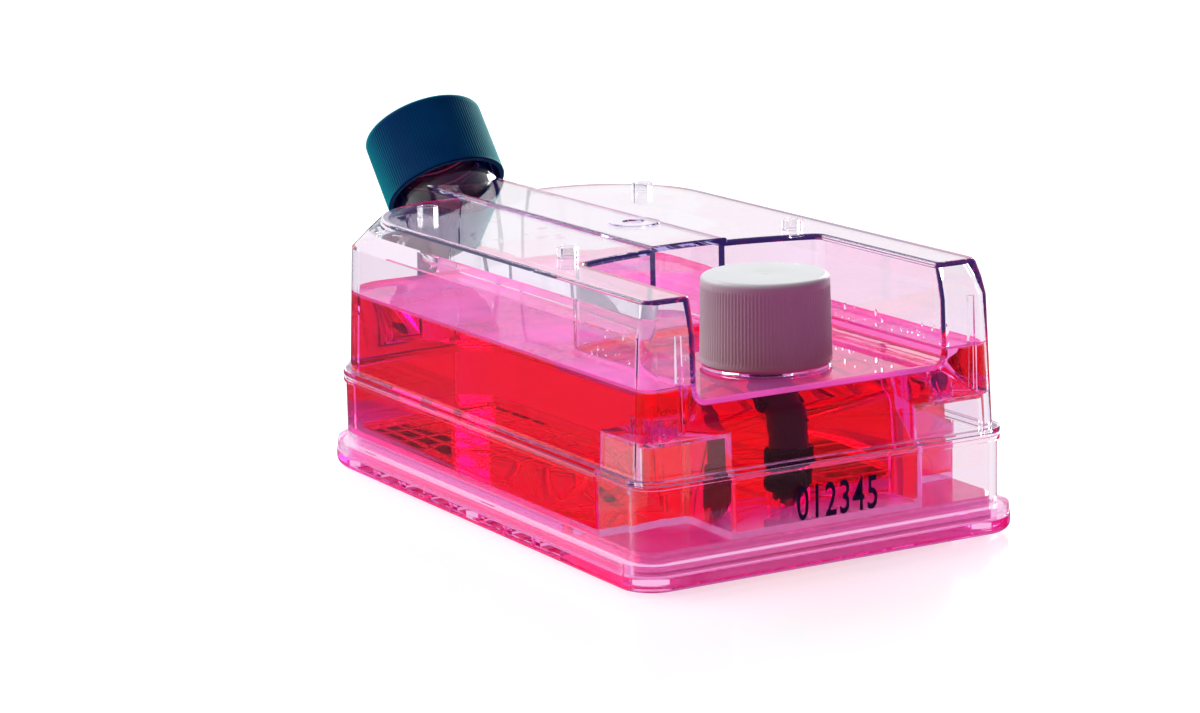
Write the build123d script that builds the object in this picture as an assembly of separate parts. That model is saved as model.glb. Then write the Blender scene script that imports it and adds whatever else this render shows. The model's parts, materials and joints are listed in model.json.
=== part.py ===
from build123d import *
import os
from math import cos, pi, radians, sin, tan

# Two-compartment cell culture flask. Millimetres, +Z up, origin at the centre of the base tray's
# footprint on the table. -Y is the front, where the bay and the port cap are; +Y is the rear,
# where the medium neck leans out.

# ---- base tray ----
tray_width = 100.0
tray_length = 159.0
front_corner_radius = 8.7
rear_corner_radius = 20.0
least_corner_radius = 2.0
foot_height = 0.8
foot_radius = 4.0
foot_x = 41.5
front_foot_setback = 9.0
rear_foot_setback = 19.5
tray_underside = 2.0
tray_floor = 1.8
rim_step_height = 4.7
rim_top_height = 6.9
rim_step = 0.3
rim_bottom_fillet = 2.0
vent_columns = 6
vent_rows = 8
vent_bar = 4.0

# ---- lower housing ----
skirt_inset = 2.9
wall = 1.5
seam_height = 23.3
bead_drop = 1.7
bead_thickness = 1.0
bead_inset = 2.3
floor_height = 9.0
floor_thickness = 1.5
window_width = 76.0
window_front_setback = 40.5
window_rear_setback = 14.5
window_corner_radius = 3.0
spigot_radius = 3.1
spigot_bore = 2.0
spigot_height = 3.6

# ---- hollow pockets at the front corners of the lower housing ----
pocket_inner_x = 23.4
pocket_depth = 23.5
pocket_top = 32.0
pocket_wall = 1.2
pocket_edge_radius = 3.0
pocket_peg_radius = 2.7
pocket_peg_height = 3.4
pocket_peg_inset = 15.0

# ---- upper housing ----
roof_height = 62.1
shoulder_drop = 8.1
facet_drop = 4.1
upper_foot_inset = 4.0
shoulder_inset = 5.4
facet_inset = 6.4
roof_inset = 7.6
facet_rear_radius = 21.0
roof_rear_radius = 28.0
roof_edge_fillet = 0.8
flange_thickness = 1.1
tongue_depth = 1.5
bay_half_width = 31.5
bay_side_depth = 53.8
bay_centre_depth = 60.2
bay_floor_radius = 2.4
arm_edge_radius = 1.4
deck_height = 40.1
web_offset = 10.0
web_thickness = 1.5
web_bottom = 43.0
channel_rise = 0.6
channel_edge_fillet = 0.4
peg_x = 29.8
peg_front_setback = 62.7
peg_rear_setback = 28.4
peg_radius = 2.5
peg_height = 2.4
peg_bore = 1.8
gate_x = 3.5
gate_setback = 90.0
gate_radius = 6.0
gate_height = 0.3
gate_well_radius = 2.8
gate_well_depth = 0.5
rib_width = 1.4
rib_depth = 0.7
rib_gap = 1.0
left_rib_x = -36.2
right_rib_x = 39.0

# ---- rear box that carries the medium neck ----
box_half_width = 10.0
box_reach = 16.0
box_heel_height = 25.5
box_toe_height = 33.5

# ---- medium neck, along its own tilted axis ----
neck_reach = 18.9
neck_drop = 3.7
neck_tilt = 40.1
neck_radius = 13.2
neck_wall = 1.7
neck_root_radius = 9.9
neck_root_depth = 21.5
neck_cone_start = 6.0

# ---- caps and threads ----
thread_pitch = 4.0
thread_depth = 0.9
thread_width = 1.6
thread_crest_width = 0.8
thread_root = 0.3
thread_end_gap = 2.0
thread_turns = 2.0
thread_clearance = 0.25
liner_gap = 0.1
liner_thickness = 1.1
liner_clearance = 0.15
cap_top = 1.6
cap_seat_gap = 0.3
medium_cap_radius = 15.55
medium_cap_taper = 0.05
medium_cap_height = 19.8
medium_cap_fillet = 1.0
port_cap_radius = 14.65
port_cap_taper = 0.45
port_cap_height = 19.4
port_cap_fillet = 1.2

# ---- cell port ----
port_setback = 28.0
port_neck_radius = 11.9
port_neck_bore = 9.4
port_ring_radius = 14.3
port_ring_height = 0.6
tube_radius = 3.8
tube_bore = 2.4
tube_flange_radius = 9.0
tube_flange_thickness = 1.2
tube_end_gap = 0.3
fit = 0.05
ring_radius = 5.7
ring_top = 31.8
ring_bottom = 28.8
collar_radius = 4.8
collar_bottom = 26.5
sleeve_radius = 4.6
sleeve_bottom = 22.5
boot_radius = 5.4
boot_bottom = 12.1
boot_fillet = 2.2

# ---- membranes and what clamps them ----
stack_clearance = 0.15
grid_thickness = 0.6
grid_columns = 8
grid_rows = 11
grid_bar = 2.2
gas_membrane_thickness = 0.5
dialysis_membrane_thickness = 0.4
channel_width = 7.0

# ---- contents ----
medium_level = 42.5

# ---- derived values ----
front_edge = -tray_length / 2
rear_edge = tray_length / 2
foot_rows = (front_edge + front_foot_setback, 0.0, rear_edge - rear_foot_setback)
window_front = front_edge + window_front_setback
window_rear = rear_edge - window_rear_setback
pocket_rear_y = front_edge + pocket_depth
bay_side_y = front_edge + bay_side_depth
bay_centre_y = front_edge + bay_centre_depth
peg_rows = (front_edge + peg_front_setback, rear_edge - peg_rear_setback)
gate_y = front_edge + gate_setback
box_rear_y = rear_edge + box_reach
neck_y = rear_edge + neck_reach
port_y = front_edge + port_setback
window_length = window_rear - window_front
window_centre_y = (window_rear + window_front) / 2
tray_floor_top = tray_underside + tray_floor
inner_inset = skirt_inset + wall
floor_top = floor_height + floor_thickness
grid_top = tray_floor_top + grid_thickness
gas_membrane_top = grid_top + gas_membrane_thickness
frame_top = floor_height - dialysis_membrane_thickness
stack_inset = inner_inset + stack_clearance
bead_height = seam_height - bead_drop
upper_inner_inset = upper_foot_inset + wall
shoulder_height = roof_height - shoulder_drop
facet_height = roof_height - facet_drop
channel_roof_height = roof_height + channel_rise
neck_height = channel_roof_height - neck_drop
deck_underside = deck_height - wall
roof_underside = roof_height - wall
spigot_top = floor_top + spigot_height
port_cap_base = deck_height + port_ring_height + cap_seat_gap
port_rim = port_cap_base + port_cap_height - cap_top - liner_thickness - 2 * liner_gap
medium_rim = medium_cap_height - cap_top - liner_thickness - 2 * liner_gap


def outline(inset, z, rear=None):
    """The flask's plan, drawn in from the tray's edge: tight front corners, wide rear ones."""
    x = tray_width / 2 - inset
    y = rear_edge - inset
    front = max(front_corner_radius - inset, least_corner_radius)
    rear = rear or rear_corner_radius - inset
    face = Plane.XY.offset(z) * Rectangle(2 * x, 2 * y)
    face = fillet(face.vertices().sort_by(Axis.Y)[:2], front)
    return fillet(face.vertices().sort_by(Axis.Y)[-2:], rear)


def slab(inset, bottom, top):
    return extrude(outline(inset, bottom), top - bottom)


def taper(*sections):
    """A ruled body through outlines given as (inset, height) or (inset, height, rear radius)."""
    return loft([outline(*section) for section in sections], ruled=True)


def block(x0, x1, y0, y1, z0, z1):
    size = Box(x1 - x0, y1 - y0, z1 - z0)
    return Pos((x0 + x1) / 2, (y0 + y1) / 2, (z0 + z1) / 2) * size


def rod(radius, bottom, top, x=0.0, y=0.0):
    return Pos(x, y, (bottom + top) / 2) * Cylinder(radius, top - bottom)


def tube(radius, bore, bottom, top, x=0.0, y=0.0):
    return rod(radius, bottom, top, x, y) - rod(bore, bottom, top, x, y)


def window(clearance, bottom, top):
    """The membrane window of the floor, grown or shrunk by a clearance."""
    plan = RectangleRounded(
        window_width + 2 * clearance, window_length + 2 * clearance, window_corner_radius
    )
    return extrude(Pos(0, window_centre_y, bottom) * plan, top - bottom)


def holes(columns, rows, bar, bottom, top):
    """A pattern of square-cornered openings that fills the membrane window."""
    pitch_x = window_width / columns
    pitch_y = window_length / rows
    cell = Box(pitch_x - bar, pitch_y - bar, top - bottom)
    places = GridLocations(pitch_x, pitch_y, columns, rows)
    return [Pos(0, window_centre_y, (bottom + top) / 2) * place * cell for place in places]


def thread(radius, top):
    """A helical ridge that stands on a neck of the given radius."""
    length = thread_turns * thread_pitch
    path = Helix(thread_pitch, length, radius)
    half = thread_width / 2
    crest = thread_crest_width / 2
    profile = Polygon(
        (-thread_root, -half),
        (thread_depth, -crest),
        (thread_depth, crest),
        (-thread_root, half),
        align=None,
    )
    section = Plane(path @ 0, x_dir=(1, 0, 0), z_dir=path % 0) * profile
    return Pos(0, 0, top - length) * sweep(section, path=path, is_frenet=True)


neck_frame = Plane(
    origin=(0, neck_y, neck_height),
    x_dir=(1, 0, 0),
    z_dir=(0, sin(radians(neck_tilt)), cos(radians(neck_tilt))),
).location
port_frame = Pos(0, port_y, 0)


def make_base_tray():
    tray = slab(0, foot_height, rim_step_height)
    tray = fillet(tray.faces().sort_by(Axis.Z)[0].edges(), rim_bottom_fillet)
    tray += slab(rim_step, rim_step_height, rim_top_height)
    tray -= slab(skirt_inset - stack_clearance, tray_floor_top, rim_top_height)
    tray -= slab(skirt_inset, foot_height, tray_underside)
    tray -= holes(vent_columns, vent_rows, vent_bar, tray_underside, tray_floor_top)
    feet = [(x, y) for x in (-foot_x, foot_x) for y in foot_rows] + [(0, 0)]
    for x, y in feet:
        tray += rod(foot_radius, 0, tray_underside, x, y)
    return tray


def front_blocks(shrink, bottom, top):
    """Blocks over the two front corners, each drawn back from the flask's middle."""
    rear = pocket_rear_y - shrink
    side = tray_width / 2
    middle = Vector(0, 0, (bottom + top) / 2)
    blocks = []
    for left, right in ((-side, -pocket_inner_x - shrink), (pocket_inner_x + shrink, side)):
        piece = block(left, right, front_edge, rear, bottom, top)
        inner_edge = piece.edges().filter_by(Axis.Z).sort_by_distance(middle)[0]
        blocks.append(fillet(inner_edge, pocket_edge_radius - shrink))
    return blocks


def front_pockets(inset_low, inset_high, shrink, bottom, top):
    """The two front pockets: what the blocks and the housing's plan have in common."""
    rise = (shoulder_inset - upper_foot_inset) / (shoulder_height - seam_height)
    envelope = slab(inset_low, bottom, seam_height)
    envelope += taper((inset_high, seam_height), (inset_high + rise * (top - seam_height), top))
    return [envelope & piece for piece in front_blocks(shrink, bottom, top)]


def pocket_pegs():
    x = tray_width / 2 - pocket_peg_inset
    y = front_edge + pocket_peg_inset
    top = pocket_top + pocket_peg_height
    return [rod(pocket_peg_radius, pocket_top, top, side * x, y) for side in (-1, 1)]


def make_lower_housing():
    body = slab(skirt_inset, tray_floor_top, seam_height)
    body += slab(bead_inset, bead_height, bead_height + bead_thickness)
    body -= slab(inner_inset, tray_floor_top, floor_height)
    body -= slab(inner_inset, floor_top, seam_height)
    gap = upper_inner_inset + stack_clearance
    ceiling = pocket_top - pocket_wall
    body += front_pockets(inner_inset, gap, 0, floor_height, pocket_top)
    body -= front_pockets(inner_inset, gap + pocket_wall, pocket_wall, floor_height, ceiling)
    body += pocket_pegs()
    body -= window(0, floor_height, floor_top)
    body += rod(spigot_radius, floor_top, spigot_top, 0, port_y)
    body -= rod(spigot_bore, floor_height, spigot_top, 0, port_y)
    return body


def bay(grow, bottom, top):
    """The open bay round the port cap: straight arms and a back wall that bows to the rear."""
    x = bay_half_width + grow
    front = 2 * front_edge
    side = bay_side_y + grow
    edge = Polyline((-x, side), (-x, front), (x, front), (x, side))
    back = ThreePointArc((x, side), (0, bay_centre_y + grow), (-x, side))
    prism = extrude(Pos(0, 0, bottom) * make_face([edge, back]), top - bottom)
    corners = prism.edges().filter_by(Axis.Z).sort_by(Axis.Y)[-2:]
    prism = fillet(corners, bay_floor_radius + grow)
    foot = prism.faces().sort_by(Axis.Z)[0].edges().sort_by(Axis.Y)[1:]
    return fillet(foot, bay_floor_radius + grow)


def rear_box(shrink):
    """The narrow channel along the roof and the box behind it, with a sloping underside."""
    toe = box_rear_y - shrink
    heel = rear_edge - shoulder_inset - wall
    top = channel_roof_height - shrink
    side = Polygon(
        (heel, box_heel_height + shrink),
        (toe, box_toe_height + shrink),
        (toe, top),
        (bay_side_y, top),
        (bay_side_y, web_bottom),
        (heel, web_bottom),
        align=None,
    )
    half = box_half_width - shrink
    return extrude(Plane.YZ.offset(-half) * side, 2 * half)


def neck_body(shrink, rim):
    """Neck and its tapered root, along the neck's own axis."""
    depth = neck_root_depth - shrink
    root = neck_root_radius - shrink
    top = neck_radius - shrink
    profile = Polygon(
        (0, -depth), (root, -depth), (top, -neck_cone_start), (top, rim), (0, rim), align=None
    )
    return neck_frame * revolve(Plane.XZ * profile, Axis.Z)


def housing_cavity():
    inner = taper(
        (upper_inner_inset, seam_height),
        (shoulder_inset + wall, shoulder_height),
        (facet_inset + wall, facet_height, facet_rear_radius - wall),
        (roof_inset + wall, roof_underside, roof_rear_radius - wall),
    )
    inner += rear_box(wall)
    inner -= bay(wall, deck_underside, channel_roof_height)
    return inner + neck_body(neck_wall, medium_rim)


def make_tongue(clearance):
    """The lip that locates the upper housing inside the skirt, cut away at the front pockets."""
    bottom = seam_height - tongue_depth
    lip = slab(inner_inset + clearance, bottom, seam_height)
    lip -= slab(upper_inner_inset, bottom, seam_height)
    return lip - front_blocks(-clearance, bottom, seam_height)


def front_ribs():
    """Two upright ribs inside the front wall."""
    front = front_edge + shoulder_inset + wall
    bottom = pocket_top + rib_gap
    return [
        block(x, x + rib_width, front - wall, front + rib_depth, bottom, shoulder_height)
        for x in (left_rib_x, right_rib_x)
    ]


def is_arm_edge(edge):
    """True for the upright edges where the bay breaks through the front wall."""
    point = edge.center()
    beside_bay = abs(abs(point.X) - bay_half_width) < wall / 2
    return beside_bay and point.Y < front_edge + roof_inset + wall


def make_upper_housing():
    shell = taper(
        (upper_foot_inset, seam_height),
        (shoulder_inset, shoulder_height),
        (facet_inset, facet_height, facet_rear_radius),
        (roof_inset, roof_height, roof_rear_radius),
    )
    shell -= bay(0, deck_height, roof_height)
    shell = fillet(shell.edges().filter_by(is_arm_edge), arm_edge_radius)
    shell = fillet(shell.faces().sort_by(Axis.Z)[-1].edges(), roof_edge_fillet)
    channel = rear_box(0) - bay(0, deck_height, channel_roof_height)
    shell += fillet(channel.faces().sort_by(Axis.Z)[-1].edges(), channel_edge_fillet)
    shell += neck_body(0, medium_rim)
    shell += slab(bead_inset, seam_height, seam_height + flange_thickness)
    shell -= housing_cavity()
    shell += make_tongue(stack_clearance)
    rear_wall = rear_edge - shoulder_inset
    for side in (-1, 1):
        x0 = side * web_offset
        x1 = side * (web_offset - web_thickness)
        web = block(min(x0, x1), max(x0, x1), bay_centre_y, rear_wall, web_bottom, roof_underside)
        shell += web
    shell += front_ribs()
    for x in (-peg_x, peg_x):
        for y in peg_rows:
            shell += tube(peg_radius, peg_bore, roof_height, roof_height + peg_height, x, y)
    gate_top = channel_roof_height + gate_height
    shell += rod(gate_radius, channel_roof_height, gate_top, gate_x, gate_y)
    shell -= rod(gate_well_radius, gate_top - gate_well_depth, gate_top, gate_x, gate_y)
    shell += rod(port_ring_radius, deck_height, deck_height + port_ring_height, 0, port_y)
    shell += rod(port_neck_radius, deck_height, port_rim, 0, port_y)
    shell -= rod(port_neck_bore, deck_height, port_rim, 0, port_y)
    shell -= rod(tube_radius + fit, deck_underside, deck_height, 0, port_y)
    shell += port_frame * thread(port_neck_radius, port_rim - thread_end_gap)
    return shell + neck_frame * thread(neck_radius, medium_rim - thread_end_gap)


def make_cap(base_radius, taper_in, height, bore, edge):
    """A screw cap about +Z, open at z = 0, with a smooth bore round the neck's thread."""
    outer = Pos(0, 0, height / 2) * Cone(base_radius, base_radius - taper_in, height)
    outer = fillet(outer.faces().sort_by(Axis.Z)[-1].edges(), edge)
    return outer - rod(bore, 0, height - cap_top)


def make_liner(bore, rim):
    return rod(bore - liner_clearance, rim + liner_gap, rim + liner_gap + liner_thickness)


def make_port_pieces():
    """The black pieces that lead from the port neck down to the cell compartment."""
    flange_top = deck_height + tube_flange_thickness
    stem = rod(tube_radius, spigot_top + tube_end_gap, deck_height)
    stem += rod(tube_flange_radius, deck_height, flange_top)
    stem -= rod(tube_bore, spigot_top + tube_end_gap, flange_top)
    hole = tube_radius + fit
    boot = rod(boot_radius, boot_bottom, sleeve_bottom)
    boot = fillet(boot.faces().sort_by(Axis.Z)[0].edges(), boot_fillet)
    boot -= rod(hole, boot_bottom, sleeve_bottom)
    return {
        "port_tube": port_frame * stem,
        "port_ring": port_frame * tube(ring_radius, hole, ring_bottom, ring_top),
        "port_collar": port_frame * tube(collar_radius, hole, collar_bottom, ring_bottom),
        "port_sleeve": port_frame * tube(sleeve_radius, hole, sleeve_bottom, collar_bottom),
        "port_boot": port_frame * boot,
    }


def make_support_grid(outer, bottom):
    return outer - holes(grid_columns, grid_rows, grid_bar, bottom, bottom + grid_thickness)


def cell_space(clearance, bottom, top):
    """The cell compartment: the window's area and the channel that leads to the port."""
    half = channel_width / 2 - clearance
    front = port_y - half
    channel = block(-half, half, front, window_front + window_corner_radius, bottom, top)
    return window(-clearance, bottom, top) + channel


def make_cell_frame():
    body = slab(stack_inset, gas_membrane_top, frame_top)
    return body - cell_space(0, gas_membrane_top, frame_top)


def make_dialysis_membrane():
    body = slab(stack_inset, frame_top, floor_height)
    return body - rod(spigot_bore, frame_top, floor_height, 0, port_y)


def make_medium():
    body = slab(inner_inset, floor_top, seam_height)
    body -= make_tongue(0)
    full = block(-tray_width, tray_width, -tray_length, tray_length, seam_height, medium_level)
    body += housing_cavity() & full
    body += window(0, floor_height + grid_thickness, floor_top)
    body -= front_pockets(inner_inset, upper_inner_inset, 0, floor_top, pocket_top)
    body -= pocket_pegs()
    body -= front_ribs()
    body -= rod(boot_radius, floor_top, sleeve_bottom, 0, port_y)
    body -= rod(sleeve_radius, sleeve_bottom, collar_bottom, 0, port_y)
    body -= rod(collar_radius, collar_bottom, ring_bottom, 0, port_y)
    body -= rod(ring_radius, ring_bottom, ring_top, 0, port_y)
    return body - rod(tube_radius + fit, ring_top, deck_underside, 0, port_y)


port_bore = port_neck_radius + thread_depth + thread_clearance
medium_bore = neck_radius + thread_depth + thread_clearance

nodes = {
    "base_tray": make_base_tray(),
    "lower_housing": make_lower_housing(),
    "upper_housing": make_upper_housing(),
    "lower_support_grid": make_support_grid(
        slab(stack_inset, tray_floor_top, grid_top), tray_floor_top
    ),
    "gas_membrane": slab(stack_inset, grid_top, gas_membrane_top),
    "cell_frame": make_cell_frame(),
    "cell_fluid": cell_space(0, gas_membrane_top, frame_top),
    "dialysis_membrane": make_dialysis_membrane(),
    "upper_support_grid": make_support_grid(
        window(-stack_clearance, floor_height, floor_height + grid_thickness), floor_height
    ),
    "nutrient_medium": make_medium(),
    "port_cap": Pos(0, port_y, port_cap_base) * make_cap(
        port_cap_radius, port_cap_taper, port_cap_height, port_bore, port_cap_fillet
    ),
    "port_cap_liner": port_frame * make_liner(port_bore, port_rim),
    "medium_cap": neck_frame * make_cap(
        medium_cap_radius, medium_cap_taper, medium_cap_height, medium_bore, medium_cap_fillet
    ),
    "medium_cap_liner": neck_frame * make_liner(medium_bore, medium_rim),
}
nodes.update(make_port_pieces())

os.makedirs("parts", exist_ok=True)
for name, solid in nodes.items():
    export_step(solid, f"parts/{name}.step")
    print(name, len(solid.solids()), round(solid.volume, 1), solid.is_valid)
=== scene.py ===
import json
from math import cos, pi, radians, sin

import bmesh
import bpy
import numpy as np
from mathutils import Matrix, Vector
from mathutils.geometry import delaunay_2d_cdt


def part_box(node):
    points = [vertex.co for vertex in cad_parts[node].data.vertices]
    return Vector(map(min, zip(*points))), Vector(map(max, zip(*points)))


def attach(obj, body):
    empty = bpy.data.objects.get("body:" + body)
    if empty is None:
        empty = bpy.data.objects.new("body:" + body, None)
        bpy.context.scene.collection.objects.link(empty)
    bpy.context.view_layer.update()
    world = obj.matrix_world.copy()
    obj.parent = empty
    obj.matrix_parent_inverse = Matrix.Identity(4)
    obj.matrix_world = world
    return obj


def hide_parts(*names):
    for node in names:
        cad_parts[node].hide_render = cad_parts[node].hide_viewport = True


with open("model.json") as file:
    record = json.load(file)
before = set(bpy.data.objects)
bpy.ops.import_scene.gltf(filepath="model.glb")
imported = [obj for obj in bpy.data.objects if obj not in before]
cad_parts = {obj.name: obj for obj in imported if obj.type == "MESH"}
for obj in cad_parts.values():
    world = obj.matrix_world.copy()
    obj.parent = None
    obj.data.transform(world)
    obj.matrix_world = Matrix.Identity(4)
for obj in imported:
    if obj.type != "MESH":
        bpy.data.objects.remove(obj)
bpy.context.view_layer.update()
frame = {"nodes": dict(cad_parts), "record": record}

MM = 0.001
scene = bpy.context.scene
nodes = frame["nodes"]
record = frame["record"]
joints = {joint["name"]: joint for joint in record["behaviour"]["joints"]}
liquid_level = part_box("nutrient_medium")[1][2]


# ---------------------------------------------------------------- camera

CAMERA_PLACE = Vector((-0.40818, -0.6906, 0.20187))
CAMERA_YAW = radians(29.81)
CAMERA_PITCH = radians(11.88)
CAMERA_ROLL = radians(1.28)
CAMERA_LENS = 105.69
CAMERA_SENSOR = 36.0
CAMERA_NEAREST = 0.01


def add_camera():
    """Stands the camera at its place, turned by its heading, its dip below level and its roll."""
    flat = cos(CAMERA_PITCH)
    forward = Vector((sin(CAMERA_YAW) * flat, cos(CAMERA_YAW) * flat, -sin(CAMERA_PITCH)))
    level = Vector((cos(CAMERA_YAW), -sin(CAMERA_YAW), 0))
    down = forward.cross(level)
    right = level * cos(CAMERA_ROLL) + down * sin(CAMERA_ROLL)
    up = level * sin(CAMERA_ROLL) - down * cos(CAMERA_ROLL)
    camera = bpy.data.objects.new("camera", bpy.data.cameras.new("camera"))
    camera.data.sensor_width = CAMERA_SENSOR
    camera.data.lens = CAMERA_LENS
    camera.data.clip_start = CAMERA_NEAREST
    turn = Matrix((right, up, -forward)).transposed().to_4x4()
    camera.matrix_world = Matrix.Translation(CAMERA_PLACE) @ turn
    scene.collection.objects.link(camera)
    scene.camera = camera


# ---------------------------------------------------------------- node tree helpers

class Tree:
    """Short calls for building one material's or world's nodes."""

    def __init__(self, owner):
        owner.use_nodes = True
        self.tree = owner.node_tree
        self.tree.nodes.clear()

    def node(self, kind, inputs=None, **settings):
        made = self.tree.nodes.new(kind)
        for key, value in settings.items():
            setattr(made, key, value)
        for key, value in (inputs or {}).items():
            socket = made.inputs[key]
            if isinstance(value, bpy.types.NodeSocket):
                self.tree.links.new(value, socket)
            else:
                socket.default_value = value
        return made

    def place(self):
        return self.node("ShaderNodeTexCoord").outputs["Object"]

    def noise(self, scale, detail=3.0):
        inputs = {"Vector": self.place(), "Scale": scale, "Detail": detail, "Roughness": 0.5}
        return self.node("ShaderNodeTexNoise", inputs).outputs["Fac"]

    def ramp(self, fac, low, high, low_at=0.0, high_at=1.0):
        made = self.node("ShaderNodeValToRGB", {"Fac": fac})
        first, last = made.color_ramp.elements
        first.position, first.color = low_at, low
        last.position, last.color = high_at, high
        return made.outputs["Color"]

    def span(self, value, low, high, low_at=0.0, high_at=1.0):
        inputs = {"Value": value, "From Min": low_at, "From Max": high_at, "To Min": low, "To Max": high}
        return self.node("ShaderNodeMapRange", inputs).outputs["Result"]

    def blend(self, share, first, second):
        inputs = {0: share, 6: first, 7: second}
        return self.node("ShaderNodeMix", inputs, data_type="RGBA").outputs[2]

    def either(self, share, first, second):
        return self.node("ShaderNodeMixShader", {0: share, 1: first, 2: second}).outputs[0]

    def glow(self, colour, strength):
        return self.node("ShaderNodeEmission", {"Color": colour, "Strength": strength}).outputs[0]

    def bump(self, height, strength, distance):
        made = self.node("ShaderNodeBump", {"Height": height, "Strength": strength, "Distance": distance})
        return made.outputs["Normal"]

    def math(self, operation, a, b=0.0):
        return self.node("ShaderNodeMath", {0: a, 1: b}, operation=operation).outputs[0]

    def output(self, surface, volume=None, kind="ShaderNodeOutputMaterial"):
        inputs = {"Surface": surface}
        if volume:
            inputs["Volume"] = volume
        self.node(kind, inputs)


def new_material(name):
    material = bpy.data.materials.new(name)
    return material, Tree(material)


def rgb(red, green, blue):
    return (red, green, blue, 1.0)


def grey(value):
    return rgb(value, value, value)


# ---------------------------------------------------------------- materials

PLASTIC_IOR = 1.55
PLASTIC_SHINE = 0.16
WATER_IOR = 1.335
# Ray depth past which clear pieces and liquids end their paths on a painted glow.
DEEP_PATH = 10
WET_MIRROR = 0.12
WALL_WAVE = 1.2 * MM
LIQUID_WAVE = 2.0 * MM
# Strength of the painted glow of the liquid's milky film.
FILM_PAINTED_GLOW = 0.7
CLEAR_SHADE = rgb(0.95, 0.92, 0.96)


def lets_light_through(tree, surface, lamp_tint, bounce_tint=None):
    """Lamps and bounced light pass straight through; sight and reflections still bend."""
    path = tree.node("ShaderNodeLightPath").outputs
    lit = tree.node("ShaderNodeBsdfTransparent", {"Color": lamp_tint}).outputs[0]
    bounced = tree.node("ShaderNodeBsdfTransparent", {"Color": bounce_tint or lamp_tint}).outputs[0]
    surface = tree.either(path["Is Shadow Ray"], surface, lit)
    return tree.either(path["Is Diffuse Ray"], surface, bounced)


def glows_on_deep_paths(tree, surface, colour):
    """Light trapped inside a clear piece after many bounces ends in a painted glow of a set colour,
    standing in for the dim tinted light of thick edges.
    """
    depth = tree.node("ShaderNodeLightPath").outputs["Ray Depth"]
    painted_deep_glow = tree.math("GREATER_THAN", depth, DEEP_PATH)
    return tree.either(painted_deep_glow, surface, tree.glow(colour, 1.0))


def wetted_mirror(tree):
    """Below the liquid's level, the inner side of a wall mirrors only as plastic against water does."""
    height = tree.node("ShaderNodeSeparateXYZ", {0: tree.place()}).outputs["Z"]
    inside = tree.node("ShaderNodeNewGeometry").outputs["Backfacing"]
    wet = tree.math("MULTIPLY", tree.math("LESS_THAN", height, liquid_level), inside)
    return tree.ramp(wet, grey(1), grey(WET_MIRROR))


def clear_plastic(name, face, edge, absorb, density, painted_deep_glow, scuffed=0.1):
    """Clear moulded polystyrene: tinted where seen edge-on, a painted stand-in for the coloured light its
    edges refract, faintly wavy, with sparse fine scuffs.
    """
    material, tree = new_material(name)
    # Painted refraction: where the surface is seen edge-on its colour turns to the edge colour.
    facing = tree.node("ShaderNodeLayerWeight", {"Blend": 0.35}).outputs["Facing"]
    colour = tree.ramp(facing, face, edge, low_at=0.76, high_at=1.0)
    scuff = tree.span(tree.noise(700.0, detail=4.0), 0.0, scuffed, low_at=0.66, high_at=0.8)
    normal = tree.bump(tree.noise(45.0, detail=2.0), strength=0.02, distance=WALL_WAVE)
    shader = tree.node("ShaderNodeBsdfPrincipled", {
        "Base Color": colour, "Roughness": scuff, "IOR": PLASTIC_IOR, "Transmission Weight": 1.0,
        "Normal": normal, "Specular IOR Level": PLASTIC_SHINE, "Specular Tint": wetted_mirror(tree),
    })
    volume = tree.node("ShaderNodeVolumeAbsorption", {"Color": absorb, "Density": density})
    # Paths that stay trapped in the piece end on a painted glow in the deep colour.
    surface = glows_on_deep_paths(tree, shader.outputs[0], painted_deep_glow)
    tree.output(lets_light_through(tree, surface, CLEAR_SHADE), volume.outputs[0])
    return material


def liquid(name, absorb, density, painted_deep_glow, shine, mirror=grey(0.05), film_and_glow=None,
           lamp_tint=grey(1), bounce_tint=None, ripple=0.002):
    """Clear coloured liquid whose colour comes from its depth, perhaps under a thin milky film that also
    glows in its own colour as painted light.
    """
    material, tree = new_material(name)
    normal = tree.bump(tree.noise(26.0, detail=2.0), strength=ripple, distance=LIQUID_WAVE)
    shader = tree.node("ShaderNodeBsdfPrincipled", {
        "Base Color": grey(1), "Roughness": 0.0, "IOR": WATER_IOR, "Transmission Weight": 1.0,
        "Normal": normal, "Specular IOR Level": shine, "Specular Tint": mirror,
    })
    volume = tree.node("ShaderNodeVolumeAbsorption", {"Color": absorb, "Density": density})
    surface = shader.outputs[0]
    if film_and_glow:
        share, colour = film_and_glow
        # The film is partly a milky layer and partly painted light: it glows in its own colour as well as
        # scattering.
        matt = tree.node("ShaderNodeBsdfDiffuse", {"Color": colour}).outputs[0]
        milk_and_painted_glow = tree.node("ShaderNodeAddShader", {0: matt, 1: tree.glow(colour, FILM_PAINTED_GLOW)}).outputs[0]
        cloud = tree.noise(34.0, detail=4.0)
        patchy = tree.span(cloud, share * 0.6, share * 1.4, low_at=0.3, high_at=0.7)
        surface = tree.either(patchy, surface, milk_and_painted_glow)
    # Paths that stay trapped in the liquid end on a painted glow in the deep colour.
    surface = glows_on_deep_paths(tree, surface, painted_deep_glow)
    tree.output(lets_light_through(tree, surface, lamp_tint, bounce_tint), volume.outputs[0])
    return material


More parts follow.
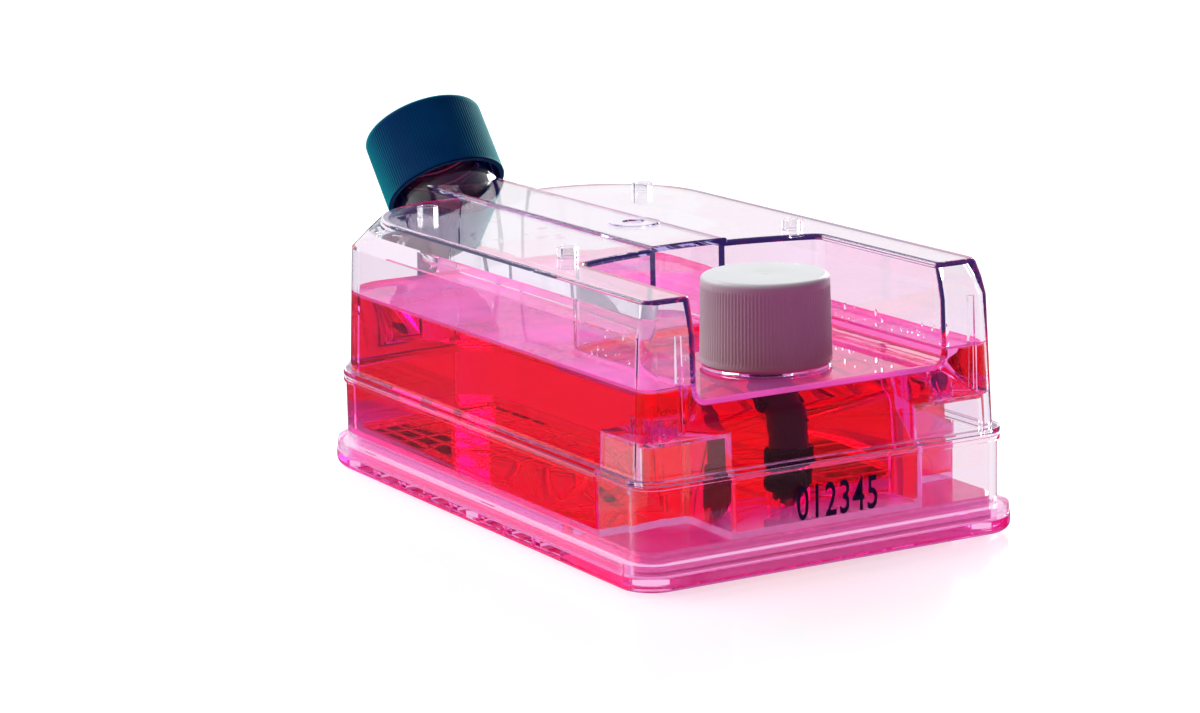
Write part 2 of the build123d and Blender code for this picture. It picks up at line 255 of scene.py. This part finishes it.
def solid_plastic(name, low, high, roughness, grain=700.0, depth=0.08 * MM, painted_rim_light=None, shine=0.5):
    """Opaque moulded plastic with mottled colour, uneven gloss, a fine grain and perhaps a painted rim
    light: a brighter colour where the surface is seen edge-on.
    """
    material, tree = new_material(name)
    colour = tree.ramp(tree.noise(60.0, detail=5.0), low, high, low_at=0.3, high_at=0.7)
    if painted_rim_light:
        # Painted rim light: the colour brightens towards the rim colour where the surface is seen edge-on.
        facing = tree.node("ShaderNodeLayerWeight", {"Blend": 0.3}).outputs["Facing"]
        colour = tree.blend(tree.span(facing, 0.0, 1.0, low_at=0.2, high_at=0.85), colour, painted_rim_light)
    gloss = tree.span(tree.noise(250.0, detail=4.0), roughness * 0.8, roughness * 1.2)
    normal = tree.bump(tree.noise(grain), strength=0.25, distance=depth)
    shader = tree.node("ShaderNodeBsdfPrincipled", {
        "Base Color": colour, "Roughness": gloss, "Normal": normal, "Specular IOR Level": shine,
    })
    tree.output(shader.outputs[0])
    return material


def milky(name, low, high, share, roughness, index=1.41):
    """A thin translucent sheet or moulding: part of the light scatters, part goes straight on."""
    material, tree = new_material(name)
    colour = tree.ramp(tree.noise(120.0, detail=4.0), low, high, low_at=0.3, high_at=0.7)
    gloss = tree.span(tree.noise(400.0), roughness * 0.8, roughness * 1.2)
    normal = tree.bump(tree.noise(600.0), strength=0.2, distance=0.1 * MM)
    shader = tree.node("ShaderNodeBsdfPrincipled", {
        "Base Color": colour, "Roughness": gloss, "IOR": index, "Transmission Weight": share,
        "Normal": normal, "Specular IOR Level": 0.2,
    })
    tree.output(lets_light_through(tree, shader.outputs[0], high))
    return material


def ink(name, colour):
    """Stamped ink, a little paler in fine specks."""
    material, tree = new_material(name)
    paler = rgb(*(min(1.0, c * 1.8 + 0.02) for c in colour[:3]))
    speck = tree.ramp(tree.noise(1500.0), colour, paler, low_at=0.5, high_at=0.9)
    shader = tree.node("ShaderNodeBsdfPrincipled", {"Base Color": speck, "Roughness": 0.45})
    tree.output(shader.outputs[0])
    return material


# ---------------------------------------------------------------- mesh helpers

NEAR = 0.02 * MM
WELD = 0.002 * MM
FLAT_ANGLE = radians(0.5)
SAME_NORMAL = 0.999
UPWARD = 0.9
SMALLEST_SINGULAR = 0.05
LONGEST_MOVE = 2.5


def mesh_object(name, mesh, body, material):
    """A new piece that rides on a body and takes its finish from a slot."""
    made = bpy.data.objects.new(name, mesh)
    scene.collection.objects.link(made)
    mesh.materials.clear()
    mesh.materials.append(material)
    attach(made, body)
    return made


def welded_copy(node):
    """A node's mesh with its doubled vertices joined and its flat triangles merged."""
    work = bmesh.new()
    work.from_mesh(nodes[node].data)
    bmesh.ops.remove_doubles(work, verts=work.verts, dist=WELD)
    bmesh.ops.dissolve_limit(work, angle_limit=FLAT_ANGLE, verts=work.verts, edges=work.edges)
    return work


def grow(work, distance, level):
    """Moves every face out by the same distance; vertices on the level stay on it."""
    moves = []
    for vertex in work.verts:
        normals = []
        for face in vertex.link_faces:
            if all(face.normal.dot(other) < SAME_NORMAL for other in normals):
                normals.append(face.normal.copy())
        on_level = abs(vertex.co.z - level) < NEAR
        wanted = np.array([0.0 if on_level and n.z > UPWARD else distance for n in normals])
        planes = np.array([list(n) for n in normals])
        move = np.linalg.lstsq(planes, wanted, rcond=SMALLEST_SINGULAR)[0]
        size = float(np.linalg.norm(move))
        if size > LONGEST_MOVE * distance:
            move = move * (LONGEST_MOVE * distance / size)
        moves.append(Vector([float(v) for v in move]))
    for vertex, move in zip(work.verts, moves):
        vertex.co += move


def to_mesh(work, name, smooth_angle=40):
    """Ends the editing of a mesh, and shades it smooth except at edges over an angle."""
    mesh = bpy.data.meshes.new(name)
    bmesh.ops.triangulate(work, faces=[f for f in work.faces if len(f.verts) > 4])
    work.to_mesh(mesh)
    work.free()
    mesh.shade_smooth()
    mesh.set_sharp_from_angle(angle=radians(smooth_angle))
    return mesh


# ---------------------------------------------------------------- the liquids

MEDIUM_OVERLAP = 0.08 * MM
DECK_BELOW_LEVEL = 4.1 * MM
MENISCUS_SPACING = 2.0 * MM
SURFACE_GRID = 6.0 * MM
CORNER_FAN = 12
JOIN = 0.001 * MM
LEVEL_FACE = 0.99
RISING_FACE = 0.3
MENISCUS_PROFILE = ((0.0, 1.0 * MM), (0.3 * MM, 0.5 * MM), (0.7 * MM, 0.2 * MM), (1.4 * MM, 0.0))


def distance_to_edges(spots, starts, ends):
    """How far each flat point is from the nearest of the edges."""
    along = ends - starts
    lengths = (along ** 2).sum(1)
    offset = spots[:, None, :] - starts[None]
    share = np.clip((offset * along).sum(2) / lengths, 0.0, 1.0)
    return np.sqrt(((offset - share[..., None] * along) ** 2).sum(2)).min(1)


def inside_edges(spots, starts, ends):
    """Which flat points lie inside the closed loops that the edges make."""
    x, y = spots[:, None, 0], spots[:, None, 1]
    crosses = (starts[None, :, 1] > y) != (ends[None, :, 1] > y)
    rise = ends[:, 1] - starts[:, 1]
    rise = np.where(rise == 0.0, 1.0, rise)
    meets = starts[:, 0] + (y - starts[:, 1]) * (ends[:, 0] - starts[:, 0]) / rise
    return (crosses & (x < meets)).sum(1) % 2 == 1


def surface_points(starts, ends):
    """Points inside the shore: a row for each step of the meniscus, fans at corners, and a coarse grid."""
    widths = np.array([width for width, _ in MENISCUS_PROFILE[1:]])
    fan = [np.array((cos(turn), sin(turn))) for turn in np.linspace(0, 2 * pi, CORNER_FAN, endpoint=False)]
    rows = [corner + way * width for corner in starts for way in fan for width in widths]
    for a, b in zip(starts, ends):
        along = b - a
        length = float(np.hypot(*along))
        side = np.array((-along[1], along[0])) / length
        count = max(1, round(length / MENISCUS_SPACING))
        for width in (*widths, *-widths):
            rows += [a + along * (i + 0.5) / count + side * width for i in range(count)]
    rows = np.array(rows)
    away = distance_to_edges(rows, starts, ends)
    rows = rows[np.abs(away[:, None] - widths).min(1) < NEAR]
    low, high = starts.min(0), starts.max(0)
    steps = [np.arange(low[i], high[i], SURFACE_GRID) for i in range(2)]
    middle = np.array(np.meshgrid(*steps)).reshape(2, -1).T
    middle = middle[distance_to_edges(middle, starts, ends) > 2 * widths[-1]]
    spots = np.concatenate((rows, middle))
    return spots[inside_edges(spots, starts, ends)]


def lies_on(face, level):
    return face.normal.z > LEVEL_FACE and abs(face.calc_center_median().z - level) < NEAR


def raise_meniscus(work, level):
    """Remakes the free surface as one fine sheet that climbs the walls that it meets."""
    top = {face for face in work.faces if lies_on(face, level)}
    shore = [e for e in work.edges if sum(f in top for f in e.link_faces) == 1]
    corners = list({v for e in shore for v in e.verts})
    number = {v: i for i, v in enumerate(corners)}
    pairs = [tuple(number[v] for v in e.verts) for e in shore]
    flat = np.array([v.co.xy[:] for v in corners])
    starts = np.array([flat[a] for a, _ in pairs])
    ends = np.array([flat[b] for _, b in pairs])
    spots = np.concatenate((flat, surface_points(starts, ends)))
    made = delaunay_2d_cdt([Vector(spot) for spot in spots], pairs, [], 0, JOIN)
    places, faces, sources = np.array([v[:] for v in made[0]]), np.array(made[2]), made[3]
    kept = faces[inside_edges(places[faces].mean(1), starts, ends)]
    heights = np.interp(distance_to_edges(places, starts, ends), *zip(*MENISCUS_PROFILE))
    bmesh.ops.delete(work, geom=list(top), context="FACES_ONLY")
    verts = []
    for place, height, source in zip(places, heights, sources):
        corner = next((i for i in source if i < len(corners)), None)
        vertex = work.verts.new((*place, level)) if corner is None else corners[corner]
        vertex.co.z = level + height
        verts.append(vertex)
    for corners_of_face in kept:
        face = work.faces.new([verts[i] for i in corners_of_face])
        face.normal_update()
        if face.normal.z < 0:
            face.normal_flip()
    bmesh.ops.delete(work, geom=[v for v in work.verts if not v.link_faces], context="VERTS")


def add_medium(material, surface, roof):
    """The medium again, grown a hair into the walls that wet it, with a meniscus along its edge."""
    work = welded_copy("nutrient_medium")
    grow(work, MEDIUM_OVERLAP, liquid_level)
    raise_meniscus(work, liquid_level)
    mesh = to_mesh(work, "medium_body")
    made = mesh_object("medium_body", mesh, "flask", material)
    mesh.materials.append(surface)
    mesh.materials.append(roof)
    for face in mesh.polygons:
        if face.normal.z > RISING_FACE and face.center.z > liquid_level - NEAR:
            face.material_index = 1
        elif face.normal.z > RISING_FACE and face.center.z > liquid_level - DECK_BELOW_LEVEL:
            face.material_index = 2
    even = made.modifiers.new("even_normals", "WEIGHTED_NORMAL")
    even.keep_sharp = True
    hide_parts("nutrient_medium")


# ---------------------------------------------------------------- caps

PORT_CAP = dict(
    base=14.65 * MM, top=14.2 * MM, height=19.4 * MM, bore=13.05 * MM, roof=1.6 * MM, edge=1.2 * MM,
    ribs=110, rib_depth=0.16 * MM, rib_low=1.4 * MM, rib_high=17.2 * MM, pip=1.1 * MM,
)
MEDIUM_CAP = dict(
    base=15.55 * MM, top=15.5 * MM, height=19.8 * MM, bore=14.35 * MM, roof=1.6 * MM, edge=1.0 * MM,
    ribs=120, rib_depth=0.1 * MM, rib_low=0.8 * MM, rib_high=18.2 * MM, pip=0.9 * MM,
)
MEDIUM_CAP_INSIDE_RADIUS = 14.4 * MM
MEDIUM_CAP_INSIDE_HEIGHT = 18.3 * MM
RIB_POINTS = 4
RIB_START = 0.3 * MM
RIB_END = 0.5 * MM
FOOT_CHAMFER = 0.25 * MM
EDGE_STEPS = 6
PIP_PROFILE = ((2.6, 0.0), (1.6, 0.12 * MM), (1.0, 0.1 * MM), (0.6, 0.02 * MM))


def axis_frame(joint):
    """Where a cap's own frame stands: its origin on the axis, +Z along it."""
    axis = Vector(joint["axis"]).normalized()
    side = Vector((1, 0, 0))
    ahead = axis.cross(side).normalized()
    turn = Matrix((side, ahead, axis)).transposed().to_4x4()
    return Matrix.Translation(Vector(joint["pos_m"])) @ turn


def ribbed_cap(name, joint, base, top, height, bore, roof, edge, ribs, rib_depth, rib_low, rib_high, pip):
    """A screw cap: a turned section whose outer wall is cut by fine upright grooves."""
    work = bmesh.new()
    count = ribs * RIB_POINTS
    profile = [(bore, 0.0, 0), (bore, height - roof, 0), (0.0, height - roof, 0)]
    outer = [(base - FOOT_CHAMFER, 0.0, 0), (base, FOOT_CHAMFER, 0)]

    def wall(z):
        return base + (top - base) * z / height

    outer += [(wall(rib_low), rib_low, 0), (wall(rib_low + RIB_START), rib_low + RIB_START, 1)]
    outer += [(wall(rib_high - RIB_END), rib_high - RIB_END, 1), (wall(rib_high), rib_high, 0)]
    for step in range(EDGE_STEPS + 1):
        angle = step / EDGE_STEPS * pi / 2
        outer.append((top - edge + edge * cos(angle), height - edge + edge * sin(angle), 0))
    flat = [(pip * share, height - depth, 0) for share, depth in PIP_PROFILE]
    section = profile[::-1] + outer + flat + [(0.0, height, 0)]
    rings = []
    for radius, z, ribbed in section:
        if radius == 0.0:
            rings.append([work.verts.new((0, 0, z))])
            continue
        ring = []
        for i in range(count):
            angle = 2 * pi * i / count
            cut = rib_depth if ribbed and i % RIB_POINTS >= RIB_POINTS // 2 else 0.0
            ring.append(work.verts.new(((radius - cut) * cos(angle), (radius - cut) * sin(angle), z)))
        rings.append(ring)
    for low, high in zip(rings, rings[1:]):
        for i in range(count):
            j = (i + 1) % count
            if len(low) == 1:
                work.faces.new((low[0], high[i], high[j]))
            elif len(high) == 1:
                work.faces.new((low[i], low[j], high[0]))
            else:
                work.faces.new((low[i], low[j], high[j], high[i]))
    bmesh.ops.recalc_face_normals(work, faces=work.faces)
    work.transform(axis_frame(joint))
    return to_mesh(work, name, smooth_angle=35)


def add_caps(white, teal, inside):
    """Both caps with their ribs; the teal one's inner faces take a darker material, painted shade for its
    shadowed inside.
    """
    mesh = ribbed_cap("port_cap_ribbed", joints["port_cap_unscrew"], **PORT_CAP)
    made = mesh_object("port_cap_ribbed", mesh, "port_cap_turn", white)
    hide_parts("port_cap")
    mesh = ribbed_cap("medium_cap_ribbed", joints["medium_cap_unscrew"], **MEDIUM_CAP)
    made = mesh_object("medium_cap_ribbed", mesh, "medium_cap_turn", teal)
    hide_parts("medium_cap")
    # Painted shade: faces inside the teal cap get the darker material.
    mesh.materials.append(inside)
    to_axis = axis_frame(joints["medium_cap_unscrew"]).inverted()
    for face in mesh.polygons:
        spot = to_axis @ face.center
        if spot.xy.length < MEDIUM_CAP_INSIDE_RADIUS and spot.z < MEDIUM_CAP_INSIDE_HEIGHT:
            face.material_index = 1


# ---------------------------------------------------------------- small things

DOME_SIDES = 12
DOME_RINGS = 3


def dome(work, place, out, along, radius, height, stretch):
    """Adds a rounded bead that sits on a surface whose outward direction is given."""
    out = Vector(out).normalized()
    along = Vector(along).normalized()
    across = out.cross(along)
    place = Vector(place)
    levels = []
    for ring in range(DOME_RINGS):
        angle = ring / DOME_RINGS * pi / 2
        level = []
        for side in range(DOME_SIDES):
            turn = 2 * pi * side / DOME_SIDES
            spot = along * cos(turn) * radius * stretch + across * sin(turn) * radius
            level.append(work.verts.new(place + spot * cos(angle) + out * height * sin(angle)))
        levels.append(level)
    tip = work.verts.new(place + out * height)
    work.faces.new(levels[0][::-1])
    for low, high in zip(levels, levels[1:]):
        for side in range(DOME_SIDES):
            after = (side + 1) % DOME_SIDES
            work.faces.new((low[side], low[after], high[after], high[side]))
    for side in range(DOME_SIDES):
        work.faces.new((levels[-1][side], levels[-1][(side + 1) % DOME_SIDES], tip))


BRISTLE_RINGS = 20
BRISTLES_A_RING = 46
BRISTLE_LENGTH = 0.5 * MM
BRISTLE_HALF = 0.2 * MM
BRISTLE_ROOT = 0.05 * MM
BRISTLE_DROOP = 0.6
BARE_FOOT = 2.4 * MM
BARE_TOP = 0.4 * MM


def add_bristles(material):
    """The boot's short stubble, in rings that are turned half a step from one to the next."""
    low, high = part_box("port_boot")
    middle = Vector(((low[0] + high[0]) / 2, (low[1] + high[1]) / 2, 0))
    radius = (high[0] - low[0]) / 2 - BRISTLE_ROOT
    bottom = low[2] + BARE_FOOT
    step = (high[2] - BARE_TOP - bottom) / (BRISTLE_RINGS - 1)
    work = bmesh.new()
    for ring in range(BRISTLE_RINGS):
        z = bottom + ring * step
        for i in range(BRISTLES_A_RING):
            angle = 2 * pi * (i + 0.5 * (ring % 2)) / BRISTLES_A_RING
            out = Vector((cos(angle), sin(angle), 0))
            side = Vector((-sin(angle), cos(angle), 0)) * BRISTLE_HALF
            root = middle + out * radius + Vector((0, 0, z))
            lift = Vector((0, 0, BRISTLE_HALF))
            corners = [work.verts.new(root + offset) for offset in (-side, -lift, side, lift)]
            tip = work.verts.new(root + out * BRISTLE_LENGTH - lift * BRISTLE_DROOP)
            for a, b in zip(corners, corners[1:] + corners[:1]):
                work.faces.new((a, b, tip))
    mesh = to_mesh(work, "boot_bristles", smooth_angle=20)
    mesh_object("boot_bristles", mesh, "flask", material)


WALL_DROPLETS = 46
ROOF_DROPLETS = 15
WALL_SETBACK = 1.82 * MM
ROOF_SETBACK = 0.28 * MM
WALL_CLEARANCE = 1.2 * MM
WALL_REACH = 6.5 * MM
WALL_SIZES = (0.22, 0.4)
ROOF_SIZES = (0.3, 0.5)
ROOF_SPAN = (0.35, 0.6)
WALL_BULGE = 0.6
ROOF_BULGE = 0.4
WALL_STRETCH = 0.8
ROOF_STRETCH = 1.5
DROPLET_SEED = 7


def droplet_radius(draw, sizes):
    """Mostly near the smaller size, now and then up to both together."""
    return (sizes[0] + sizes[1] * draw.rand() ** 2) * MM


def add_droplets(material):
    """Beads of medium on the arms' inner walls just over the liquid, and a few under the roof."""
    openings = {box["name"]: box["box_m"] for box in record["physics"]["openings"]}
    left_wall = openings["bay_left_of_cap"][0][0] - WALL_SETBACK
    right_wall = openings["bay_right_of_cap"][1][0] + WALL_SETBACK
    front, rear = openings["bay_right_of_cap"][0][1], openings["bay_right_of_cap"][1][1]
    draw = np.random.RandomState(DROPLET_SEED)
    work = bmesh.new()
    for i in range(WALL_DROPLETS):
        wall, out = (left_wall, -1) if i % 2 else (right_wall, 1)
        y = front + (rear - front) * draw.rand()
        z = liquid_level + WALL_CLEARANCE + WALL_REACH * draw.rand() ** 2
        radius = droplet_radius(draw, WALL_SIZES)
        stretch = 1.0 + WALL_STRETCH * draw.rand()
        dome(work, (wall, y, z), (out, 0, 0), (0, 0, 1), radius, radius * WALL_BULGE, stretch)
    low, high = openings["headspace_left"]
    roof = high[2] + ROOF_SETBACK
    nearest, spread = ROOF_SPAN
    for i in range(ROOF_DROPLETS):
        x = low[0] + (high[0] - low[0]) * draw.rand()
        y = low[1] + (high[1] - low[1]) * (nearest + spread * draw.rand())
        radius = droplet_radius(draw, ROOF_SIZES)
        stretch = 1.0 + ROOF_STRETCH * draw.rand()
        dome(work, (x, y, roof), (0, 0, -1), (1, 0, 0), radius, radius * ROOF_BULGE, stretch)
    mesh = to_mesh(work, "droplets", smooth_angle=60)
    mesh_object("droplets", mesh, "flask", material)


# ---------------------------------------------------------------- print

PRINT_TEXT = "012345"
PRINT_LEFT = -8.6 * MM
PRINT_RIGHT = 12.2 * MM
PRINT_LOW = 10.9 * MM
PRINT_HIGH = 18.5 * MM
PRINT_WEIGHT = 0.012
PRINT_SPACING = 1.12
PRINT_PROUD = 0.02 * MM
BEAD_WIDTH = 0.6 * MM


def add_print(material):
    """A plain number stamped on the front wall."""
    curve = bpy.data.curves.new("stamp", "FONT")
    curve.body = PRINT_TEXT
    curve.size = 1.0
    curve.offset = PRINT_WEIGHT
    curve.resolution_u = 4
    curve.space_character = PRINT_SPACING
    source = bpy.data.objects.new("stamp_source", curve)
    scene.collection.objects.link(source)
    bpy.context.view_layer.update()
    graph = bpy.context.evaluated_depsgraph_get()
    mesh = bpy.data.meshes.new_from_object(source.evaluated_get(graph))
    bpy.data.objects.remove(source)
    spots = np.array([vertex.co[:] for vertex in mesh.vertices])
    low, high = spots.min(0), spots.max(0)
    skirt_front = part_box("lower_housing")[0][1] + BEAD_WIDTH
    for vertex in mesh.vertices:
        u = (vertex.co.x - low[0]) / (high[0] - low[0])
        v = (vertex.co.y - low[1]) / (high[1] - low[1])
        x = PRINT_LEFT + u * (PRINT_RIGHT - PRINT_LEFT)
        vertex.co = (x, skirt_front - PRINT_PROUD, PRINT_LOW + v * (PRINT_HIGH - PRINT_LOW))
    mesh_object("number_stamp", mesh, "flask", material)


# ---------------------------------------------------------------- the stage

FLOOR_SIZE = 4.0
FLOOR_DROP = 0.05 * MM
FLOOR_COLOUR = rgb(0.64, 0.68, 0.68)
FLOOR_LIFT = (rgb(0.96, 1, 1), 0.6)
FLOOR_BOUNCE = (rgb(0.95, 0.24, 0.60), 0.5)
FLOOR_THROUGH = (rgb(1.05, 0.96, 1.04), 0.97)
FLOOR_MIRRORED = rgb(0.08, 0.05, 0.09)
ZENITH_THROUGH = rgb(0.42, 0.22, 0.55)
FRONT_MIRRORED = rgb(0.05, 0.04, 0.07)
FRONT_LIT = rgb(0.07, 0.025, 0.05)


def add_world():
    """White to the camera; behind the object it also lights and mirrors white, in front it is dark."""
    world = bpy.data.worlds.new("studio")
    scene.world = world
    tree = Tree(world)
    path = tree.node("ShaderNodeLightPath").outputs
    direction = tree.node("ShaderNodeTexCoord").outputs["Generated"]
    parts = tree.node("ShaderNodeSeparateXYZ", {0: direction}).outputs
    seen = tree.ramp(tree.span(parts["Z"], 0.0, 1.0, low_at=0.45, high_at=0.95), grey(1), ZENITH_THROUGH)
    behind = tree.span(parts["Y"], 0.0, 1.0, low_at=-0.15, high_at=0.85)
    mirrored = tree.ramp(behind, FRONT_MIRRORED, grey(1))
    lit = tree.ramp(behind, FRONT_LIT, grey(1))
    colour = tree.blend(path["Is Glossy Ray"], lit, mirrored)
    colour = tree.blend(path["Is Transmission Ray"], colour, seen)
    colour = tree.blend(path["Is Camera Ray"], colour, grey(1))
    back = tree.node("ShaderNodeBackground", {"Color": colour, "Strength": 1.0})
    tree.output(back.outputs[0], kind="ShaderNodeOutputWorld")


def add_floor():
    """A pale floor that keeps the shadow, and shows white through the clear pieces."""
    mesh = bpy.data.meshes.new("floor")
    work = bmesh.new()
    bmesh.ops.create_grid(work, x_segments=8, y_segments=8, size=FLOOR_SIZE)
    work.to_mesh(mesh)
    work.free()
    floor = bpy.data.objects.new("floor", mesh)
    scene.collection.objects.link(floor)
    material, tree = new_material("floor")
    gloss = tree.span(tree.noise(8.0), 0.12, 0.2)
    shader = tree.node("ShaderNodeBsdfPrincipled", {"Base Color": FLOOR_COLOUR, "Roughness": gloss})
    path = tree.node("ShaderNodeLightPath").outputs
    seen = tree.node("ShaderNodeAddShader", {0: shader.outputs[0], 1: tree.glow(*FLOOR_LIFT)}).outputs[0]
    dim = tree.node("ShaderNodeBsdfDiffuse", {"Color": FLOOR_MIRRORED}).outputs[0]
    surface = tree.either(path["Is Diffuse Ray"], dim, tree.glow(*FLOOR_BOUNCE))
    surface = tree.either(path["Is Camera Ray"], surface, seen)
    surface = tree.either(path["Is Transmission Ray"], surface, tree.glow(*FLOOR_THROUGH))
    tree.output(surface)
    mesh.materials.append(material)
    floor.location.z = -FLOOR_DROP


def add_lamp(name, place, aim, size, power, mirrored=True):
    """A rectangular softbox that faces a point; one that isn't mirrored shows in no glossy surface."""
    lamp = bpy.data.lights.new(name, "AREA")
    lamp.shape = "RECTANGLE"
    lamp.size, lamp.size_y = size
    lamp.energy = power
    made = bpy.data.objects.new(name, lamp)
    made.location = place
    made.visible_glossy = mirrored
    made.rotation_euler = (Vector(aim) - Vector(place)).to_track_quat("-Z", "Y").to_euler()
    scene.collection.objects.link(made)


# ---------------------------------------------------------------- everything

CLEAR_BOUNCES = 24
LAMPS = (
    dict(name="back_softbox", place=(-0.5, 0.9, 0.9), aim=(0, 0, 0.03), size=(0.9, 0.6), power=7.0),
    dict(name="side_softbox", place=(0.9, 0.6, 0.4), aim=(0, 0, 0.05), size=(0.4, 0.6), power=5.5),
    dict(name="top_softbox", place=(-0.1, 0.1, 1.0), aim=(0, 0, 0.06), size=(0.5, 0.5), power=2.5,
         mirrored=False),
)

scene.view_settings.view_transform = "Standard"
scene.cycles.use_denoising = True
scene.cycles.max_bounces = CLEAR_BOUNCES
scene.cycles.transmission_bounces = CLEAR_BOUNCES
scene.cycles.glossy_bounces = CLEAR_BOUNCES
scene.cycles.transparent_max_bounces = 32
scene.cycles.diffuse_bounces = 2
scene.cycles.volume_bounces = 0

add_camera()
add_world()
add_floor()
for lamp in LAMPS:
    add_lamp(**lamp)

# Violet, pink and crimson are only the painted glows that end paths trapped in clear pieces and liquids.
violet = rgb(0.055, 0.03, 0.13)
pink = rgb(0.85, 0.30, 0.62)
crimson = rgb(0.97, 0.004, 0.035)
hot_pink = rgb(1.0, 0.16, 0.72)
# Each edge colour below is painted refraction: the tint a clear piece takes when seen edge-on.
shell = clear_plastic(
    "clear_polystyrene", face=rgb(0.99, 0.99, 1.0), edge=rgb(0.50, 0.32, 0.60),
    absorb=rgb(0.2, 0.1, 0.8), density=10.0, painted_deep_glow=violet,
)
skirt = clear_plastic(
    "skirt_polystyrene", face=rgb(0.995, 0.98, 0.995), edge=rgb(0.75, 0.40, 0.65),
    absorb=rgb(0.9, 0.3, 0.8), density=7.0, painted_deep_glow=pink,
)
tray = clear_plastic(
    "tray_polystyrene", face=rgb(1.0, 0.83, 0.955), edge=rgb(0.85, 0.33, 0.66),
    absorb=rgb(1.0, 0.2, 0.75), density=40.0, painted_deep_glow=pink, scuffed=0.2,
)
frame_clear = clear_plastic(
    "frame_plastic", face=rgb(1.0, 0.60, 0.86), edge=rgb(0.85, 0.4, 0.65),
    absorb=rgb(1.0, 0.35, 0.8), density=8.0, painted_deep_glow=pink, scuffed=0.2,
)
phenol_red = dict(
    absorb=rgb(0.997, 0.0, 0.70), density=105.0, painted_deep_glow=crimson,
    lamp_tint=rgb(1.0, 0.965, 0.99), bounce_tint=rgb(0.96, 0.45, 0.72),
)
medium = liquid("red_medium", shine=0.06, **phenol_red)
# The films on the surface and under the deck glow hot pink: painted light.
medium_surface = liquid(
    "red_medium_surface", shine=0.5, mirror=rgb(0.9, 0.5, 1.0), film_and_glow=(0.4, hot_pink), ripple=0.1,
    **phenol_red,
)
medium_roof = liquid("red_medium_under_deck", shine=0.06, film_and_glow=(0.24, hot_pink), ripple=0.05, **phenol_red)
fluid = liquid("cell_fluid", absorb=rgb(1.0, 0.2, 0.6), density=40.0, painted_deep_glow=crimson, shine=0.1)
dew = liquid("droplets", absorb=rgb(0.98, 0.5, 0.6), density=20.0, painted_deep_glow=pink, shine=0.4)
white = solid_plastic("white_cap", rgb(0.78, 0.82, 0.83), rgb(0.86, 0.90, 0.91), 0.38)
# The teal cap's bright rim colour is painted light from behind.
teal = solid_plastic(
    "teal_cap", rgb(0.0, 0.04, 0.15), rgb(0.0, 0.075, 0.23), 0.5, painted_rim_light=rgb(0.0, 0.90, 0.80), shine=0.05)
# Painted shade: a darker copy of the teal for the cap's shadowed inside.
cap_inside_painted_shade = solid_plastic("cap_inside_painted_shade", rgb(0.0, 0.02, 0.09), rgb(0.0, 0.035, 0.14), 0.5, shine=0.1)
black = solid_plastic("black_fitting", rgb(0.010, 0.004, 0.008), rgb(0.02, 0.010, 0.016), 0.3)
boot = solid_plastic(
    "boot_rubber", rgb(0.008, 0.003, 0.006), rgb(0.03, 0.008, 0.014), 0.6, grain=350.0, depth=0.4 * MM)
liner = solid_plastic("liner_foam", rgb(0.82, 0.82, 0.80), rgb(0.90, 0.90, 0.88), 0.6)
grid = milky("grid_plastic", rgb(0.97, 0.50, 0.82), rgb(1.0, 0.62, 0.90), 0.88, 0.2)
wet_grid = milky("wet_grid_plastic", rgb(1.0, 0.72, 0.72), rgb(1.0, 0.82, 0.82), 0.97, 0.08, index=1.36)
silicone = milky("silicone", rgb(0.98, 0.56, 0.84), rgb(1.0, 0.68, 0.92), 0.88, 0.2)
membrane = milky("membrane", rgb(0.98, 0.45, 0.76), rgb(1.0, 0.56, 0.84), 0.9, 0.15, index=1.38)
stamp = ink("blue_ink", rgb(0.0, 0.02, 0.11))

looks = {
    "base_tray": tray,
    "lower_housing": skirt,
    "upper_housing": shell,
    "lower_support_grid": grid,
    "upper_support_grid": wet_grid,
    "gas_membrane": silicone,
    "cell_frame": frame_clear,
    "cell_fluid": fluid,
    "dialysis_membrane": membrane,
    "nutrient_medium": medium,
    "port_tube": black,
    "port_ring": black,
    "port_collar": black,
    "port_sleeve": black,
    "port_boot": boot,
    "port_cap": white,
    "port_cap_liner": liner,
    "medium_cap": teal,
    "medium_cap_liner": liner,
}
for material in bpy.data.materials:
    material.cycles.emission_sampling = "NONE"
for name, material in looks.items():
    for slot in nodes[name].material_slots:
        slot.material = material

add_medium(medium, medium_surface, medium_roof)
add_caps(white, teal, cap_inside_painted_shade)
add_print(stamp)
add_bristles(boot)
add_droplets(dew)
